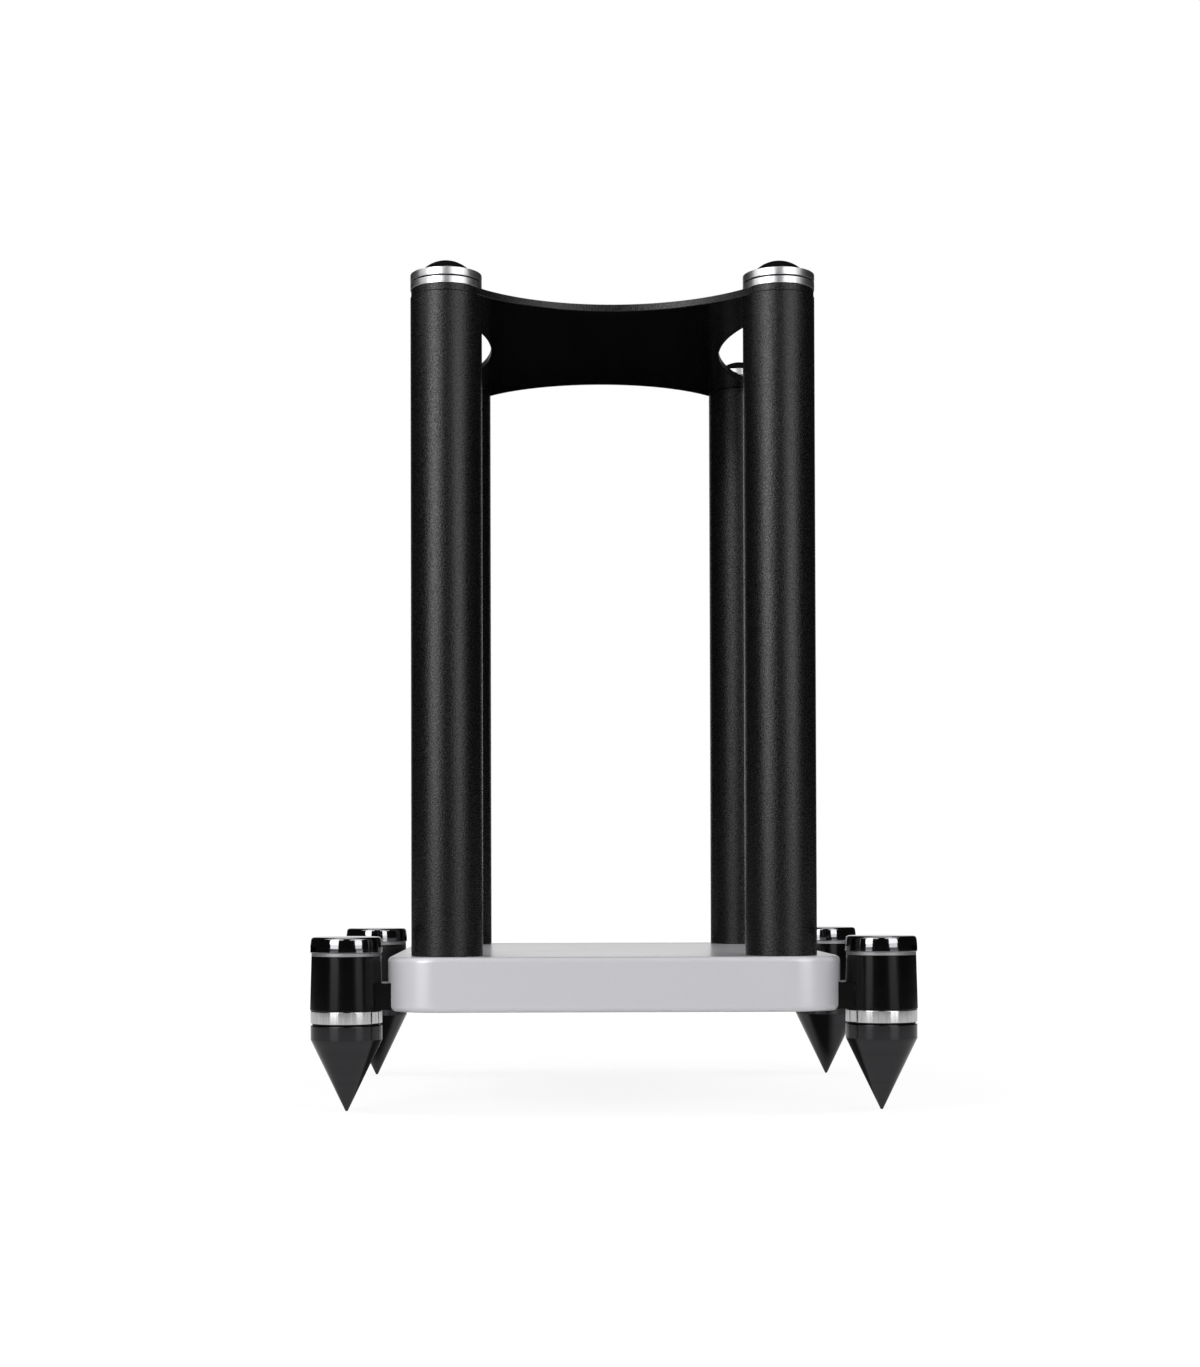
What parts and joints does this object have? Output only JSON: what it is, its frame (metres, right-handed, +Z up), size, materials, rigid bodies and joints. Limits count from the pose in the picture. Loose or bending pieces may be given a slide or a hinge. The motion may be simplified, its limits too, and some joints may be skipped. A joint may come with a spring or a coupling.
{
  "type": "speaker stand",
  "caption": "Free-standing column speaker stand: thick base board, thin waisted top plate with rubber domes, and spike feet levelled from above by turning knobs.",
  "frame": {"origin": "on the floor at the spike tips, under the middle of the stand", "axes": "+Z up, +Y to the rear, +X to the right seen from the front"},
  "size_m": [0.4246, 0.364, 0.594],
  "materials": {
    "silver_lacquer": "satin silver lacquer",
    "textured_black": "fine textured powder coat",
    "bright_aluminium": "fine turned",
    "dome_rubber": "matt",
    "satin_black": "satin",
    "gloss_black": "polished black chrome",
    "washer_steel": "satin",
    "ring_aluminium": "satin",
    "spike_steel": "satin dark nickel",
    "sleeve_brass": "machined",
    "bush_plastic": "machined acetal",
    "plug_steel": "machined",
    "fastener_steel": "zinc plated"
  },
  "bodies": {
    "frame": {"base_plate": "silver_lacquer", "top_plate": "textured_black", "column_bolts": "fastener_steel", "bolt_washers": "fastener_steel", "clamp_studs": "fastener_steel", "thrust_washers": "washer_steel", "arm_screws": "fastener_steel", "column_tube_fl": "textured_black", "top_plug_fl": "plug_steel", "bottom_plug_fl": "plug_steel", "clamp_disc_fl": "bright_aluminium", "pad_disc_fl": "bright_aluminium", "dome_pad_fl": "dome_rubber", "foot_housing_fl": "satin_black", "guide_bush_fl": "bush_plastic", "column_tube_fr": "textured_black", "top_plug_fr": "plug_steel", "bottom_plug_fr": "plug_steel", "clamp_disc_fr": "bright_aluminium", "pad_disc_fr": "bright_aluminium", "dome_pad_fr": "dome_rubber", "foot_housing_fr": "satin_black", "guide_bush_fr": "bush_plastic", "column_tube_rl": "textured_black", "top_plug_rl": "plug_steel", "bottom_plug_rl": "plug_steel", "clamp_disc_rl": "bright_aluminium", "pad_disc_rl": "bright_aluminium", "dome_pad_rl": "dome_rubber", "foot_housing_rl": "satin_black", "guide_bush_rl": "bush_plastic", "column_tube_rr": "textured_black", "top_plug_rr": "plug_steel", "bottom_plug_rr": "plug_steel", "clamp_disc_rr": "bright_aluminium", "pad_disc_rr": "bright_aluminium", "dome_pad_rr": "dome_rubber", "foot_housing_rr": "satin_black", "guide_bush_rr": "bush_plastic"},
    "knob_fl": {"foot_knob_fl": "gloss_black", "knob_sleeve_fl": "sleeve_brass"},
    "ring_fl": {"lock_ring_fl": "ring_aluminium"},
    "spike_fl": {"foot_spike_fl": "spike_steel", "spike_stud_fl": "spike_steel"},
    "knob_fr": {"foot_knob_fr": "gloss_black", "knob_sleeve_fr": "sleeve_brass"},
    "ring_fr": {"lock_ring_fr": "ring_aluminium"},
    "spike_fr": {"foot_spike_fr": "spike_steel", "spike_stud_fr": "spike_steel"},
    "knob_rl": {"foot_knob_rl": "gloss_black", "knob_sleeve_rl": "sleeve_brass"},
    "ring_rl": {"lock_ring_rl": "ring_aluminium"},
    "spike_rl": {"foot_spike_rl": "spike_steel", "spike_stud_rl": "spike_steel"},
    "knob_rr": {"foot_knob_rr": "gloss_black", "knob_sleeve_rr": "sleeve_brass"},
    "ring_rr": {"lock_ring_rr": "ring_aluminium"},
    "spike_rr": {"foot_spike_rr": "spike_steel", "spike_stud_rr": "spike_steel"}
  },
  "joints": [
    {"name": "knob_turn_fl", "type": "hinge", "parent": "frame", "child": "knob_fl", "pos_m": [-0.187, -0.147, 0.1159], "axis": [0, 0, 1], "range_deg": [0, 2160]},
    {"name": "spike_travel_fl", "type": "slide", "parent": "frame", "child": "spike_fl", "axis": [0, 0, -1], "range_m": [0, 0.0105]},
    {"name": "ring_turn_fl", "type": "hinge", "parent": "frame", "child": "ring_fl", "pos_m": [-0.187, -0.147, 0.0657], "axis": [0, 0, -1], "range_deg": [0, 90]},
    {"name": "knob_turn_fr", "type": "hinge", "parent": "frame", "child": "knob_fr", "pos_m": [0.187, -0.147, 0.1159], "axis": [0, 0, 1], "range_deg": [0, 2160]},
    {"name": "spike_travel_fr", "type": "slide", "parent": "frame", "child": "spike_fr", "axis": [0, 0, -1], "range_m": [0, 0.0105]},
    {"name": "ring_turn_fr", "type": "hinge", "parent": "frame", "child": "ring_fr", "pos_m": [0.187, -0.147, 0.0657], "axis": [0, 0, -1], "range_deg": [0, 90]},
    {"name": "knob_turn_rl", "type": "hinge", "parent": "frame", "child": "knob_rl", "pos_m": [-0.187, 0.147, 0.1159], "axis": [0, 0, 1], "range_deg": [0, 2160]},
    {"name": "spike_travel_rl", "type": "slide", "parent": "frame", "child": "spike_rl", "axis": [0, 0, -1], "range_m": [0, 0.0105]},
    {"name": "ring_turn_rl", "type": "hinge", "parent": "frame", "child": "ring_rl", "pos_m": [-0.187, 0.147, 0.0657], "axis": [0, 0, -1], "range_deg": [0, 90]},
    {"name": "knob_turn_rr", "type": "hinge", "parent": "frame", "child": "knob_rr", "pos_m": [0.187, 0.147, 0.1159], "axis": [0, 0, 1], "range_deg": [0, 2160]},
    {"name": "spike_travel_rr", "type": "slide", "parent": "frame", "child": "spike_rr", "axis": [0, 0, -1], "range_m": [0, 0.0105]},
    {"name": "ring_turn_rr", "type": "hinge", "parent": "frame", "child": "ring_rr", "pos_m": [0.187, 0.147, 0.0657], "axis": [0, 0, -1], "range_deg": [0, 90]}
  ],
  "couplings": [
    {"joint": "spike_travel_fl", "follows": "knob_turn_fl", "m_per_rad": 0.00027852},
    {"joint": "spike_travel_fr", "follows": "knob_turn_fr", "m_per_rad": 0.00027852},
    {"joint": "spike_travel_rl", "follows": "knob_turn_rl", "m_per_rad": 0.00027852},
    {"joint": "spike_travel_rr", "follows": "knob_turn_rr", "m_per_rad": 0.00027852}
  ]
}
